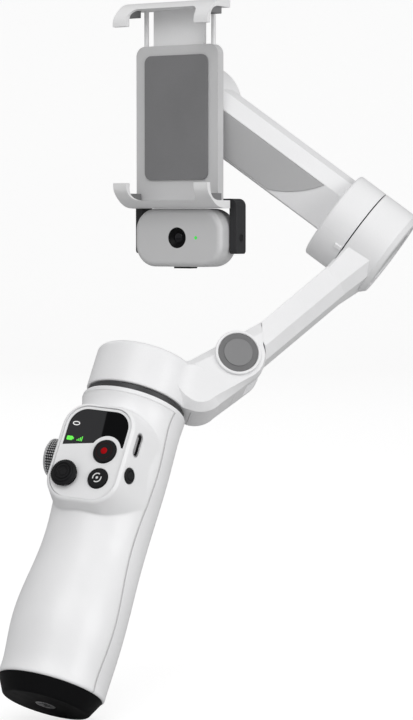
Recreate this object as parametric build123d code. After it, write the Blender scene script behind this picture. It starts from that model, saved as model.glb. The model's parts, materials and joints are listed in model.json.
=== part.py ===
"""Handheld three-axis phone gimbal with a folding arm, a spring clamp and a clip-on tracking camera.

Row frame: millimetres, origin at the mouth of the tripod thread under the handle, +Z up as the
clamp is levelled, -Y towards the user. The handle leans back from the vertical by HANDLE_TILT.
"""
import os
from math import asin, atan2, cos, degrees, hypot, radians, sin, sqrt

from build123d import *

# ---------------------------------------------------------------- driving dimensions
HANDLE_TILT = 29.2        # lean of the handle axis from the vertical, degrees
PANEL_YAW = 8.5           # turn of the control face about the handle axis, degrees
PAN_REST = 37.1           # turn of the arm about the handle axis at rest, degrees
MOTOR_CANT = 21.5         # droop of the tilt axis below the arm's sideways direction, degrees

# handle, measured along its own axis from the foot
CAP_TOP = 6.4             # top of the black foot
PAN_SEAM = 123.1          # underside of the rotating drum
RING_TOP = PAN_SEAM - 2.6
SHELL_TOP = RING_TOP - 1.8
GRIP_R = 20.4
WALL = 2.0
SPLIT_Y = -4.5            # plane that parts the front and rear grip shells
SEAM = 0.28               # width of the open line between the two shells
GRIP_SECTIONS = [(CAP_TOP, 20.5, 0.0), (22, 20.9, 0.0), (44, 20.5, 0.3), (67, 19.5, 1.5),
                 (83, 20.3, 0.3), (100, GRIP_R, 0.0), (SHELL_TOP, GRIP_R, 0.0)]

# control face on the front of the grip
PANEL_Y = -23.5           # outer plane of the panel
PANEL_LOW, PANEL_HIGH = 73.0, 109.6
PANEL_HALF = 13.5
LIP = 1.3                 # rim of the front shell round the panel
LOBE_Y = (PANEL_Y - 0.4, SPLIT_Y)   # front and root of the lobe that carries the panel
LOBE_FLARE = 4.88         # the lobe grows by this much on each side from front to root
WINDOW_LOW = 95.3         # lower edge of the display window, in the middle of the face
WINDOW_SLOPE = 8.7        # rise of that edge towards the right, degrees
WINDOW_TIP = 94.6         # lower end of the window to the right of the record button
RECORD_AT, RECORD_R = (5.7, 92.4), 4.5
MODE_AT, MODE_R = (6.1, 81.6), 3.85
STICK_AT, STICK_R = (-7.2, 81.4), 5.2
STICK_HOLE = 4.5
USB_AT = (-14.66, 98.1)   # charging port on the right flank: distance to the rear, height
POWER_AT, POWER_R = (-14.4, 85.8), 2.8
WHEEL_R, WHEEL_Y, WHEEL_Z = 7.7, -9.9, 92.2
WHEEL_X = (-22.8, -15.9)  # outer and inner face of the knurled wheel
TRIGGER_Z = 98.0          # height of the trigger's pivot on the rear of the grip

# pan drum and lower arm, in the arm's own plane: u sideways, v along the handle axis
DRUM_R, DRUM_H = 19.9, 17.4
ARM_DEPTH = 12.0          # half depth of the lower arm
HINGE_AT = (32.1, 26.9)   # fold hinge
EAR_R = 11.4              # round end of the lower arm's two ears
ARM_BEVEL = 3.0           # chamfer round the lower arm
VALLEY_R = 16.0           # hollow between the drum and the flat faces of the lower arm
BARREL = (-6.8, 4.8)      # span of the upper arm's barrel between the ears
BARREL_R = 6.8
STOP_DISTANCE = 10.0      # from the fold hinge to the stop face between the two arms
STOP_NORMAL = 17.0        # direction of the stop face's normal, degrees
HINGE_DISC_R = 7.75
ARM_ANGLE = 57.8          # direction of the upper arm, degrees
UPPER_DEPTH = 10.3        # half depth of the upper arm
UPPER_LEFT, UPPER_RIGHT = 4.2, 8.2
TILT_AT = (66.25, 96.7)   # centre of the tilt motor's seam

# tilt motor, roll motor and clamp
TILT_R = 19.0
TILT_FIXED, TILT_MOVING = 16.4, 12.7
TILT_TO_ROLL = 86.3       # from the tilt seam to the point where the tilt and roll axes cross
BEAM_FACE, BEAM_BACK = 6.0, -6.0
ROLL_R = 17.0
ROLL_BACK = 15.5          # rear end of the roll motor behind the crossing point
PHONE_FACE = 18.0         # from the phone's front glass to the crossing point
CLAMP_FRONT, CLAMP_BACK = 9.4, 14.0
BAR_IN, BAR_OUT = 38.3, 41.5
PRONG_TIP = 31.3
PRONG_X = (16.0, 22.4)
TRACKER_Z, TRACKER_HALF = -53.35, 11.75
TRACKER_Y = (9.5, 24.5)
PIVOT_Y = 19.5

FLANK_OUT = (PANEL_HALF + LIP) * cos(atan2(LOBE_FLARE, LOBE_Y[1] - LOBE_Y[0]))
FLANK_OUT -= LOBE_Y[0] * sin(atan2(LOBE_FLARE, LOBE_Y[1] - LOBE_Y[0]))

GAP = 0.3                 # clearance round a moving piece
FIT = 0.05                # radial clearance of a running fit

# ---------------------------------------------------------------- frames
UP = Vector(0, sin(radians(HANDLE_TILT)), cos(radians(HANDLE_TILT)))
REAR = Vector(0, UP.Z, -UP.Y)


def turned(angle):
    """Horizontal direction of the handle, turned from +X about the handle axis."""
    return Vector(1, 0, 0) * cos(radians(angle)) + REAR * sin(radians(angle))


HANDLE = Plane(origin=(0, 0, 0), x_dir=turned(PANEL_YAW), z_dir=UP)
ARM_E = turned(PAN_REST)
ARM = Plane(origin=UP * PAN_SEAM, x_dir=ARM_E, z_dir=ARM_E.cross(UP))
TILT_AXIS = ARM_E * cos(radians(MOTOR_CANT)) - UP * sin(radians(MOTOR_CANT))
BEAM_UP = TILT_AXIS.cross(Vector(0, 1, 0)).normalized()
BEAM_FRONT = TILT_AXIS.cross(BEAM_UP)
TILT_SEAM = UP * PAN_SEAM + ARM_E * TILT_AT[0] + UP * TILT_AT[1]
TILT = Plane(origin=TILT_SEAM, x_dir=BEAM_FRONT, z_dir=TILT_AXIS)
CROSSING = TILT_SEAM - TILT_AXIS * TILT_TO_ROLL
CLAMP = Plane(origin=CROSSING - Vector(0, PHONE_FACE, 0), x_dir=(1, 0, 0), z_dir=(0, 0, 1))
ROLL = Plane(origin=CROSSING, x_dir=(1, 0, 0), z_dir=(0, 1, 0))

nodes = {}


def keep(name, frame, shape):
    """Place a piece that was drawn in a frame and file it under its node name."""
    nodes[name] = frame.location * shape


# ---------------------------------------------------------------- small shape helpers
def rod(radius, low, high, at=(0, 0)):
    """Upright cylinder."""
    return Pos(at[0], at[1], low) * Cylinder(radius, high - low, align=(Align.CENTER, Align.CENTER, Align.MIN))


def tube(outer, inner, low, high, at=(0, 0)):
    return rod(outer, low, high, at) - rod(inner, low - 1, high + 1, at)


def cone(r_low, r_high, low, high):
    return Pos(0, 0, low) * Cone(r_low, r_high, high - low, align=(Align.CENTER, Align.CENTER, Align.MIN))


def slab(x, y, z):
    """Box between pairs of limits."""
    centre = [(limit[0] + limit[1]) / 2 for limit in (x, y, z)]
    return Pos(*centre) * Box(x[1] - x[0], y[1] - y[0], z[1] - z[0])


def along_y(sketch, low, high):
    """Sketch drawn in x and z, extruded between two y values."""
    return extrude(Plane.XZ.offset(-high) * sketch, high - low)


def along_x(sketch, low, high):
    """Sketch drawn in y and z, extruded between two x values."""
    return extrude(Plane.YZ.offset(low) * sketch, high - low)


def axle_x(radius, low, high, y, z):
    return along_x(Pos(y, z) * Circle(radius), low, high)


def rounded(shape, radius, pick=lambda edges: edges):
    """Fillet the picked edges with the largest radius that the shape accepts."""
    for scale in (1, 0.8, 0.6, 0.4, 0.25):
        try:
            result = fillet(pick(shape.edges()), radius * scale)
            if result.is_valid and result.volume > 0:
                return result
        except Exception:
            continue
    print("no fillet", radius)
    return shape


def group(*pieces):
    return Compound(children=list(pieces))


# ---------------------------------------------------------------- handle
def grip_body(inset, low, high):
    """Grip, a loft of circles whose centres move back at the waist."""
    circles = []
    for z, radius, back in GRIP_SECTIONS:
        circles.append(Pos(0, back, z) * Circle(radius - inset))
    return loft(circles) & rod(40, low, high)


def panel_outline(grow):
    """Control face: a rectangle with wide round corners."""
    low, high, half = PANEL_LOW - grow, PANEL_HIGH + grow, PANEL_HALF + grow
    outline = Pos(0, (low + high) / 2) * Rectangle(2 * half, high - low)
    outline = fillet(outline.vertices().sort_by(Axis.Y)[:2], 8.5 + grow)
    return fillet(outline.vertices().sort_by(Axis.Y)[-2:], 8.0 + grow)


def side_plane(at):
    """Frame of a feature on the right flank of the lobe: z points out, y up the grip; z is 0 at the
    handle axis and FLANK_OUT on the flank."""
    angle = -atan2(LOBE_FLARE, LOBE_Y[1] - LOBE_Y[0])
    out, rear = Vector(cos(angle), sin(angle), 0), Vector(-sin(angle), cos(angle), 0)
    return Plane(origin=rear * at[0] + Vector(0, 0, at[1]), x_dir=rear, z_dir=out).location


def panel_frame(at):
    """Frame on the control face: z points out of the face, y up the grip."""
    return Plane(origin=(at[0], PANEL_Y, at[1]), x_dir=(1, 0, 0), z_dir=(0, -1, 0)).location


def make_grip():
    front, root = (Plane.XZ.offset(-y) for y in LOBE_Y)
    lobe = loft([front * panel_outline(LIP), root * panel_outline(LIP + LOBE_FLARE)])
    lobe = rounded(lobe, 1.6, lambda e: e.group_by(Axis.Y)[0])
    outer = grip_body(0, CAP_TOP, SHELL_TOP) + lobe
    outer = rounded(outer, 1.0, lambda e: e.group_by(Axis.Z)[0])
    hollow = grip_body(WALL, CAP_TOP, SHELL_TOP)
    hollow += along_y(panel_outline(-1.5), PANEL_Y + 3.4, 0)
    shell = outer - hollow
    shell -= along_y(panel_outline(0.15), PANEL_Y - 3, PANEL_Y + 1.6)
    shell -= along_y(panel_outline(-2.5), PANEL_Y - 3, -10)
    shell -= side_plane(USB_AT) * extrude(SlotOverall(9.5, 3.7, rotation=90), 30)
    shell -= side_plane(POWER_AT) * (rod(POWER_R + GAP, 5, 30) + rod(POWER_R + 0.9, 5, FLANK_OUT - 3.5))
    shell -= axle_x(WHEEL_R + GAP, -40, WHEEL_X[1] + GAP, WHEEL_Y, WHEEL_Z)
    shell -= axle_x(1.5, -20, -10, WHEEL_Y, WHEEL_Z)
    shell -= slab((-6.3, 6.3), (14, 30), (TRIGGER_Z - 18.3, TRIGGER_Z + 4.3))
    shell -= axle_x(1.0, -8.4, 8.4, 17.2, TRIGGER_Z)
    keep("handle_front_shell", HANDLE, shell & slab((-40, 40), (-40, SPLIT_Y), (0, 130)))
    groove = slab((-40, 40), (SPLIT_Y, SPLIT_Y + SEAM), (0, 130)) - grip_body(2 * SEAM, 0, 130)
    keep("handle_rear_shell", HANDLE, (shell & slab((-40, 40), (SPLIT_Y, 40), (0, 130))) - groove)


def make_foot():
    cap = cone(16.4, 19.8, 0, CAP_TOP)
    cap = rounded(cap, 1.6, lambda e: e.group_by(Axis.Z)[0])
    cap += rod(17.8, CAP_TOP, CAP_TOP + 1.6)
    cap -= rod(4.0, -1, 12)
    insert = tube(4.0, 2.6, 0, CAP_TOP + 1.6)
    insert += tube(5.4, 2.6, CAP_TOP + 1.6, CAP_TOP + 2.6)
    keep("base_cap", HANDLE, cap)
    keep("tripod_insert", HANDLE, insert)


def stator(outer, inner, low, high, shaft):
    """Laminated core with twelve wound poles on a sleeve round the shaft."""
    core = tube(inner, shaft, low, high)
    for index in range(12):
        tooth = slab((inner - 0.5, outer), (-0.6, 0.6), (low + 0.6, high - 0.6))
        coil = slab((inner - 0.2, outer - 1.2), (-1.0, 1.0), (low, high))
        core += Rot(0, 0, index * 30) * (tooth + coil)
    return core


def make_neck():
    ring = tube(20.3, 15.2, SHELL_TOP, RING_TOP)
    ring = rounded(ring, 0.6, lambda e: e.group_by(Axis.Z)[-1].sort_by(SortBy.LENGTH)[-1:])
    base = rod(15.2, SHELL_TOP - 1.5, RING_TOP) + rod(19.1, RING_TOP, PAN_SEAM - 0.4)
    base += rod(3.8, PAN_SEAM - 0.4, PAN_SEAM + 14.0)
    base -= rod(2.0, SHELL_TOP - 4, PAN_SEAM + 20)
    keep("handle_top_ring", HANDLE, ring)
    keep("pan_base", HANDLE, base)
    keep("pan_stator", HANDLE, stator(11.0, 6.5, PAN_SEAM + 3.4, PAN_SEAM + 9.6, 3.8))
    low = tube(6.4, 3.8, PAN_SEAM + 0.9, PAN_SEAM + 3.2)
    high = tube(6.4, 3.8, PAN_SEAM + 10.6, PAN_SEAM + 12.6)
    keep("pan_bearings", HANDLE, group(low, high))


def window_outline(grow):
    """Glossy display: the top of the control face with a bite round the record button."""
    shape = panel_outline(grow - 1.1)
    cut = Rectangle(60, 60)
    shape -= Pos(0, WINDOW_LOW) * Rot(0, 0, WINDOW_SLOPE) * Pos(RECORD_AT[0] - 30, -30 - grow) * cut
    shape -= Pos(RECORD_AT[0] + 30, WINDOW_TIP - 30 - grow) * cut
    shape -= Pos(*RECORD_AT) * Circle(RECORD_R + 1.9 - grow)
    return Sketch() + shape.faces().sort_by(SortBy.AREA)[-1]


def make_panel():
    plate = along_y(panel_outline(0), PANEL_Y, PANEL_Y + 1.5)
    plate -= along_y(window_outline(0.08), PANEL_Y - 1, PANEL_Y + 0.9)
    for at, radius in ((RECORD_AT, RECORD_R + GAP), (MODE_AT, MODE_R + GAP), (STICK_AT, STICK_HOLE)):
        plate -= along_y(Pos(*at) * Circle(radius), PANEL_Y - 1, PANEL_Y + 3)
    keep("control_panel", HANDLE, plate)
    keep("display_window", HANDLE, along_y(window_outline(0), PANEL_Y + 0.05, PANEL_Y + 0.9))


def make_controls():
    """Buttons slide in their holes; each has a flange behind the panel."""
    for name, at, radius in (("record_button", RECORD_AT, RECORD_R), ("mode_button", MODE_AT, MODE_R)):
        button = rod(radius, -2.8, 0.9)
        button = rounded(button, 0.5, lambda e: e.group_by(Axis.Z)[-1])
        button += rod(radius + 0.45, -2.8, -1.8)
        keep(name, HANDLE, panel_frame(at) * button)
    power = rod(POWER_R, FLANK_OUT - 4.5, FLANK_OUT + 0.45)
    power = rounded(power, 0.4, lambda e: e.group_by(Axis.Z)[-1])
    power += rod(POWER_R + 0.6, FLANK_OUT - 4.5, FLANK_OUT - 3.6)
    keep("power_button", HANDLE, side_plane(POWER_AT) * power)


def make_joystick():
    """Thumbstick: a dished cap on a stem, held in a ring that gives it two axes."""
    frame = panel_frame(STICK_AT)
    cap = rod(STICK_R, 1.5, 3.6)
    cap = rounded(cap, 0.7)
    cap += cone(2.0, 3.4, -0.2, 1.7)
    cap -= Pos(0, 0, 16.2) * Sphere(13.2)
    cap += rod(1.3, -5.4, 0.4)
    cap += rod(1.9, -6.0, -5.0)
    ring = tube(3.6, 2.2, -6.0, -5.0)
    base = rod(4.6, -8.0, -4.2) - rod(4.0, -7.2, -4)
    keep("joystick_cap", HANDLE, frame * cap)
    keep("joystick_ring", HANDLE, frame * ring)
    keep("joystick_base", HANDLE, frame * base)


def make_wheel():
    low, high = WHEEL_X
    wheel = axle_x(WHEEL_R - 0.2, low, high, WHEEL_Y, WHEEL_Z)
    wheel = rounded(wheel, 1.3, lambda e: e.group_by(Axis.X)[0])
    wheel -= axle_x(1.5 + FIT, low + 1.6, high + 1, WHEEL_Y, WHEEL_Z)
    bracket = axle_x(1.5, low + 1.9, -10.7, WHEEL_Y, WHEEL_Z)
    bracket += slab((-11.9, -10.7), (WHEEL_Y - 3.5, WHEEL_Y + 3.5), (WHEEL_Z - 5, WHEEL_Z + 5))
    keep("zoom_wheel", HANDLE, wheel)
    keep("wheel_bracket", HANDLE, bracket)


def make_trigger():
    """Trigger blade on the rear of the grip, hinged on a cross pin at its top."""
    top, toe = TRIGGER_Z + 3.2, TRIGGER_Z - 17.4
    with BuildSketch() as side:
        with BuildLine():
            Line((16.4, TRIGGER_Z + 2), (20.0, top))
            Spline((20.0, top), (23.2, TRIGGER_Z - 5), (24.6, TRIGGER_Z - 12), (25.2, toe))
            Line((25.2, toe), (20.4, toe))
            Line((20.4, toe), (16.4, TRIGGER_Z + 2))
        make_face()
    blade = along_x(side.sketch, -5.8, 5.8) + axle_x(2.2, -5.8, 5.8, 17.2, TRIGGER_Z)
    blade = rounded(blade, 0.9, lambda e: [x for x in e if x.center().Y > 22])
    blade -= axle_x(1.0 + FIT, -7, 7, 17.2, TRIGGER_Z)
    keep("trigger", HANDLE, blade)
    keep("trigger_pin", HANDLE, axle_x(1.0, -8.4, 8.4, 17.2, TRIGGER_Z))


def make_handle_insides():
    cell = rod(9.2, 12, 77, at=(0, 3)) + rod(3, 77, 78, at=(0, 3))
    cradle = tube(10.6, 9.4, 11, 60, at=(0, 3)) & slab((-20, 20), (3, 20), (0, 90))
    cradle += rod(10.6, 10, 11.6, at=(0, 3))
    board = slab((-10, 5), (-11.6, -10.4), (88, 114))
    board += slab((-6, 4), (-10.4, -8.8), (102, 111)) + slab((-7, 0), (-10.4, -9.3), (91, 98))
    frame = side_plane(USB_AT)
    deep = FLANK_OUT - 6.5
    port = extrude(SlotOverall(9.1, 3.3, rotation=90), FLANK_OUT - 0.15)
    port -= extrude(SlotOverall(8.3, 2.5, rotation=90), FLANK_OUT)
    port &= slab((-8, 8), (-8, 8), (deep, FLANK_OUT))
    port += slab((-1.6, 1.6), (-4.2, 4.2), (deep - 0.8, deep + 0.2))
    port += slab((-0.4, 0.4), (-3.3, 3.3), (deep, FLANK_OUT - 0.9))
    switch = slab((-2.2, 2.2), (-2.2, 2.2), (-6.4, -4.6)) + rod(1.2, -4.6, -3.7)
    switches = [panel_frame(at) * switch for at in (RECORD_AT, MODE_AT)]
    switches.append(side_plane(POWER_AT) * (Pos(0, 0, FLANK_OUT - 2.1) * switch))
    keep("battery_cell", HANDLE, cell)
    keep("battery_cradle", HANDLE, cradle)
    keep("main_board", HANDLE, board)
    keep("usb_port", HANDLE, frame * port)
    keep("button_switches", HANDLE, group(*switches))


# ---------------------------------------------------------------- lower arm with the pan drum
def polar(distance, angle, centre=HINGE_AT):
    return (centre[0] + distance * cos(radians(angle)), centre[1] + distance * sin(radians(angle)))


def stop_point(radius, clearance=0.0):
    """Point of the flat stop face at a distance from the fold hinge."""
    normal = STOP_DISTANCE + clearance
    along = sqrt(radius ** 2 - normal ** 2)
    return polar(radius, STOP_NORMAL + degrees(atan2(along, normal)))


def tangent_angle(point, radius):
    """Where a line from a point below touches the right side of a circle round the fold hinge."""
    across, up = HINGE_AT[0] - point[0], HINGE_AT[1] - point[1]
    return degrees(atan2(up, across) - asin(radius / hypot(across, up))) - 90


def lower_arm_outline(inset):
    """Side view of the bent lower arm, from the drum to the fold hinge."""
    ear = max(EAR_R - inset, STOP_DISTANCE + 0.6)
    knee = (31.0 - inset, 5.8 + inset * 0.4)
    touch = tangent_angle(knee, ear)
    root = (16.4 + inset * 0.3, 20.6 - inset)
    with BuildSketch() as side:
        with BuildLine():
            Line((0, inset), (21.5, inset))
            TangentArc((21.5, inset), knee, tangent=(1, 0))
            Line(knee, polar(ear, touch))
            ThreePointArc(polar(ear, touch), polar(ear, 0), stop_point(ear))
            Line(stop_point(ear), stop_point(17.2 - inset * 1.3))
            Line(stop_point(17.2 - inset * 1.3), root)
            Spline(root, (12.0, 17.6 - inset), (6.0, 17.2 - inset))
            Line((6.0, 17.2 - inset), (0, 17.2 - inset))
            Line((0, 17.2 - inset), (0, inset))
        make_face()
    return side.sketch


def beveled_plate(outline, flat, depth, bevel):
    """Plate of a given half depth whose edges are chamfered on both faces."""
    plate = extrude(outline(0), flat, both=True)
    for sign in (1, -1):
        plate += loft([Pos(0, 0, sign * flat) * outline(0), Pos(0, 0, sign * depth) * outline(bevel)], ruled=True)
    return plate


def valley():
    """Fill with a hollow face, tangent to the drum and to the arm's flat face."""
    centre = (sqrt((DRUM_R + VALLEY_R) ** 2 - (ARM_DEPTH + VALLEY_R) ** 2), ARM_DEPTH + VALLEY_R)
    share = DRUM_R / (DRUM_R + VALLEY_R)
    start, end = (centre[0] * share, centre[1] * share), (centre[0], ARM_DEPTH)
    middle = atan2(centre[1] - start[1], centre[0] - start[0]) / 2 + radians(45)
    bend = (centre[0] - VALLEY_R * cos(middle), centre[1] - VALLEY_R * sin(middle))
    with BuildSketch() as section:
        with BuildLine():
            ThreePointArc(start, bend, end)
            Polyline(end, (end[0], ARM_DEPTH - 2), (start[0] - 2, ARM_DEPTH - 2), (start[0] - 2, start[1] - 1), start)
        make_face()
    fill = Rot(90, 0, 0) * extrude(section.sketch, -DRUM_H)
    low, high, deep, out = 0.5, DRUM_H - 0.2, ARM_DEPTH - ARM_BEVEL + 0.5, ARM_DEPTH + 3.8
    with BuildSketch() as limit:
        with BuildLine():
            Polyline((low, deep), (low + out - deep, out), (high - 3.4, out), (high, out - 3.4), (high, deep),
                     (low, deep))
        make_face()
    return fill & along_x(limit.sketch, 5, 30)


def sweep_sector(start, end):
    """Wedge with its tip on the fold hinge, wide enough for the arms' round ends."""
    return make_face(Polyline((0, 0), polar(30, start, (0, 0)), (40, 0), polar(30, end, (0, 0)), (0, 0)))


def build_lower_arm():
    upright = Rot(-90, 0, 0)
    hinge = Pos(*HINGE_AT, 0)
    plate = beveled_plate(lower_arm_outline, ARM_DEPTH - ARM_BEVEL, ARM_DEPTH, ARM_BEVEL)
    plate += [valley(), mirror(valley(), Plane.XY)]
    drum = upright * rod(DRUM_R, 0, DRUM_H)
    drum = rounded(drum, 2.2, lambda e: e.group_by(Axis.Y)[-1])
    drum = rounded(drum, 0.6, lambda e: e.group_by(Axis.Y)[0])
    body = drum + plate
    body -= upright * rod(16.8, -1, 15.4)
    seat = Circle(BARREL_R + 0.15) + (Circle(EAR_R + 0.5) & sweep_sector(-52, 57))
    body -= hinge * Pos(0, 0, BARREL[0] - 0.2) * extrude(seat, BARREL[1] - BARREL[0] + 0.4)
    body -= hinge * Cylinder(3.0, 40)
    rim = tube(9.0, HINGE_DISC_R + 0.1, ARM_DEPTH - 0.5, ARM_DEPTH + 1.3)
    rim = rounded(rim, 0.4, lambda e: e.group_by(Axis.Z)[-1])
    body += hinge * rim
    body -= hinge * rod(HINGE_DISC_R + 0.1, ARM_DEPTH - 0.6, ARM_DEPTH + 4)
    body = body.solids().sort_by(SortBy.VOLUME)[-1]
    zone = Pos(0, 0, -22) * extrude(cover_outline(0), 28)
    cover = (body & zone).solids().sort_by(SortBy.VOLUME)[-1]
    cover -= hinge * Pos(0, 0, -22) * extrude(Circle(EAR_R + 0.6), 44)
    body -= Pos(0, 0, -22) * extrude(cover_outline(0.12), 28.12)
    body = body.solids().sort_by(SortBy.VOLUME)[-1]
    keep("pan_drum", ARM, body)
    keep("lower_arm_cover", ARM, (cover - body).solids().sort_by(SortBy.VOLUME)[-1])
    disc = rod(HINGE_DISC_R, ARM_DEPTH - 0.6, ARM_DEPTH + 0.9)
    disc += rod(5.6, ARM_DEPTH + 0.9, ARM_DEPTH + 1.25)
    keep("hinge_disc", ARM, hinge * rounded(disc, 0.25, lambda e: e.group_by(Axis.Z)[-1]))
    keep("fold_pin", ARM, hinge * rod(3.0, -ARM_DEPTH + 0.4, ARM_DEPTH - 0.6))
    cup = tube(16.8, 15.2, 0.6, 15.4) + tube(15.2, 6.5, 14.2, 15.4) + tube(15.2, 12.6, 2.8, 11.0)
    keep("pan_rotor", ARM, upright * cup)


def cover_outline(grow):
    """Rear half of the arm between its two cross seams."""
    inner = EAR_R + 1.2 - grow
    with BuildSketch() as side:
        with BuildLine():
            Line((15.8 - grow, 30), (21.8 - grow, -3))
            Line((21.8 - grow, -3), (36.0 + grow, -3))
            Line((36.0 + grow, -3), polar(inner, -74))
            ThreePointArc(polar(inner, -74), polar(inner, -120), polar(inner, -170))
            Line(polar(inner, -170), (17.5, 30))
            Line((17.5, 30), (15.8 - grow, 30))
        make_face()
    return side.sketch


# ---------------------------------------------------------------- upper arm with the fixed half of the tilt motor
def arm_at(forward, side):
    """Point of the upper arm: distance from the fold hinge and offset to the left of its line."""
    ahead, left = polar(forward, ARM_ANGLE), polar(side, ARM_ANGLE + 90, (0, 0))
    return (ahead[0] + left[0], ahead[1] + left[1])


def upper_arm_outline(start):
    """Side view: from the stop face and an arc round the fold hinge to the tilt motor."""
    low_right = sqrt(start ** 2 - UPPER_RIGHT ** 2)
    top = stop_point(17.2, 0.2)
    arc_end = arm_at(low_right, -UPPER_RIGHT)
    with BuildSketch() as side:
        with BuildLine():
            ThreePointArc(stop_point(start, 0.2), polar(start, 30), arc_end)
            Line(arc_end, arm_at(80, -UPPER_RIGHT))
            Line(arm_at(80, -UPPER_RIGHT), arm_at(80, UPPER_LEFT))
            Line(arm_at(80, UPPER_LEFT), top)
            Line(top, stop_point(start, 0.2))
        make_face()
    return side.sketch


def arm_section(left, right, deep):
    """Cross-section of the upper arm: wide bevels on its lower right, small ones on the left."""
    with BuildSketch() as section:
        with BuildLine():
            Polyline((left, deep - 1), (left - 1, deep), (right + 3.8, deep), (right, deep - 4.4),
                     (right, -deep + 4.4), (right + 3.8, -deep), (left - 1, -deep), (left, -deep + 1),
                     (left, deep - 1))
        make_face()
    return section.sketch


def build_upper_arm():
    hinge = Pos(*HINGE_AT, 0)
    arm = extrude(upper_arm_outline(EAR_R + GAP), UPPER_DEPTH, both=True)
    lengthwise = Plane(origin=(*HINGE_AT, 0), x_dir=polar(1, ARM_ANGLE + 90, (0, 0)) + (0,),
                       z_dir=polar(1, ARM_ANGLE, (0, 0)) + (0,))
    arm &= extrude(lengthwise * arm_section(UPPER_LEFT + 0.6, -UPPER_RIGHT, UPPER_DEPTH), 90)
    barrel = Circle(BARREL_R) + (Circle(EAR_R) & sweep_sector(15, 52))
    web = Pos(0, 0, BARREL[0]) * extrude(upper_arm_outline(STOP_DISTANCE + 0.6), BARREL[1] - BARREL[0])
    arm += [hinge * Pos(0, 0, BARREL[0]) * extrude(barrel, BARREL[1] - BARREL[0]),
            web & hinge * Cylinder(EAR_R + 1.5, 40)]
    narrow = lengthwise.offset(52) * arm_section(UPPER_LEFT, -UPPER_RIGHT, UPPER_DEPTH)
    wide = lengthwise.offset(75) * arm_section(UPPER_LEFT + 2, -UPPER_RIGHT - 1.6, 15.6)
    arm += loft([narrow, wide], ruled=True)
    arm -= hinge * Cylinder(3.0 + FIT, 40)
    arm = ARM.location * arm
    arm -= TILT.location * rod(TILT_R + 4, -40, 0.25)
    arm -= TILT.location * rod(TILT_R + 4, TILT_FIXED - 2.2, 60)
    motor = rod(TILT_R, 0.25, TILT_FIXED)
    motor = TILT.location * chamfer(motor.edges().group_by(Axis.Z)[-1], 2.0)
    body = arm + motor
    body -= TILT.location * rod(16.6, -1, 11.8)
    body -= TILT.location * rod(11.0, TILT_FIXED - 1.4, TILT_FIXED + 3)
    body -= TILT.location * tube(14.4, 13.2, TILT_FIXED - 0.7, TILT_FIXED + 1)
    zone = ARM.location * (Pos(*HINGE_AT, 0) * Rot(0, 0, ARM_ANGLE) * slab((17, 51), (-20, 20), (-40, -3.0)))
    cover = (body & zone).solids().sort_by(SortBy.VOLUME)[-1]
    body = (body - zone).solids().sort_by(SortBy.VOLUME)[-1]
    keep("upper_arm", Plane.XY, body)
    keep("upper_arm_cover", Plane.XY, cover)
    cap = rod(10.9, TILT_FIXED - 1.4, TILT_FIXED - 0.5)
    keep("tilt_end_cap", TILT, rounded(cap, 0.3, lambda e: e.group_by(Axis.Z)[-1]))
    keep("tilt_stator", TILT, stator(11.2, 5.6, 3.4, 9.0, 3.8) + tube(6.2, 3.8, 9.0, 11.8))
    keep("tilt_bearings", TILT, group(tube(3.8, 2.0, 3.4, 5.4), tube(3.8, 2.0, 9.4, 11.4)))


# ---------------------------------------------------------------- tilt arm with the roll motor
def beam_section():
    """Cross-section of the beam: x to its front, y downwards."""
    with BuildSketch() as section:
        with BuildLine():
            Polyline((BEAM_BACK, 7.5), (BEAM_FACE - 0.8, 7.5), (BEAM_FACE, 6.7), (BEAM_FACE, -9.6),
                     (BEAM_FACE - 4.6, -14.9), (BEAM_BACK, -14.9), (BEAM_BACK, 7.5))
        make_face()
    return section.sketch


def build_tilt_arm():
    drum = rod(TILT_R, -TILT_MOVING, -0.25)
    drum = rounded(drum, 1.2, lambda e: e.group_by(Axis.Z)[0])
    drum += index_nub()
    beam = Pos(0, 0, -TILT_TO_ROLL) * extrude(beam_section(), TILT_TO_ROLL - TILT_MOVING + 2)
    arm = TILT.location * (drum + beam)
    motor = rod(ROLL_R, -2.6, ROLL_BACK)
    motor = rounded(motor, 2.0, lambda e: e.group_by(Axis.Z)[-1])
    cut = ROLL.location * rod(ROLL_R - 1, -30, ROLL_BACK - 1.8)
    arm = arm - cut
    arm -= ROLL.location * rod(60, -60, -2.6) & ROLL.location * rod(ROLL_R + 4, -60, -2.6)
    arm += ROLL.location * (motor - rod(ROLL_R - 1.8, -5, ROLL_BACK - 1.8))
    arm -= TILT.location * rod(17.2, -TILT_MOVING + 1.6, 1)
    arm -= ROLL.location * rod(11.0, ROLL_BACK - 0.9, ROLL_BACK + 2)
    arm = arm.solids().sort_by(SortBy.VOLUME)[-1]
    step = TILT.location * cover_plate(0)
    arm -= TILT.location * cover_plate(0.1)
    keep("tilt_arm", Plane.XY, arm.solids().sort_by(SortBy.VOLUME)[-1])
    cover = step - ROLL.location * rod(ROLL_R + 0.3, -40, 40)
    keep("tilt_arm_cover", Plane.XY, cover.solids().sort_by(SortBy.VOLUME)[-1])
    keep("roll_end_cap", ROLL, rod(10.9, ROLL_BACK - 0.9, ROLL_BACK - 0.1))
    rotor = rod(17.2, -2.2, -0.7) + rod(7.0, -TILT_MOVING + 1.6, -2.0) + rod(4.5, -0.7, 1.2)
    rotor += rod(15.8, 1.2, 2.2) + tube(15.8, 14.4, 2.2, 10.6) + tube(14.4, 12.8, 3.0, 9.8)
    rotor += rod(2.0 - FIT, 2.2, 11.4)
    keep("tilt_rotor", TILT, rotor)
    sleeve = tube(5.4, 3.8, 1.0, ROLL_BACK - 1.8)
    keep("roll_stator", ROLL, stator(10.4, 5.4, 2.0, 9.0, 3.8) + sleeve)
    keep("roll_bearings", ROLL, group(tube(3.8, 2.0, 1.2, 3.2), tube(3.8, 2.0, 9.2, 11.2)))


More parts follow.
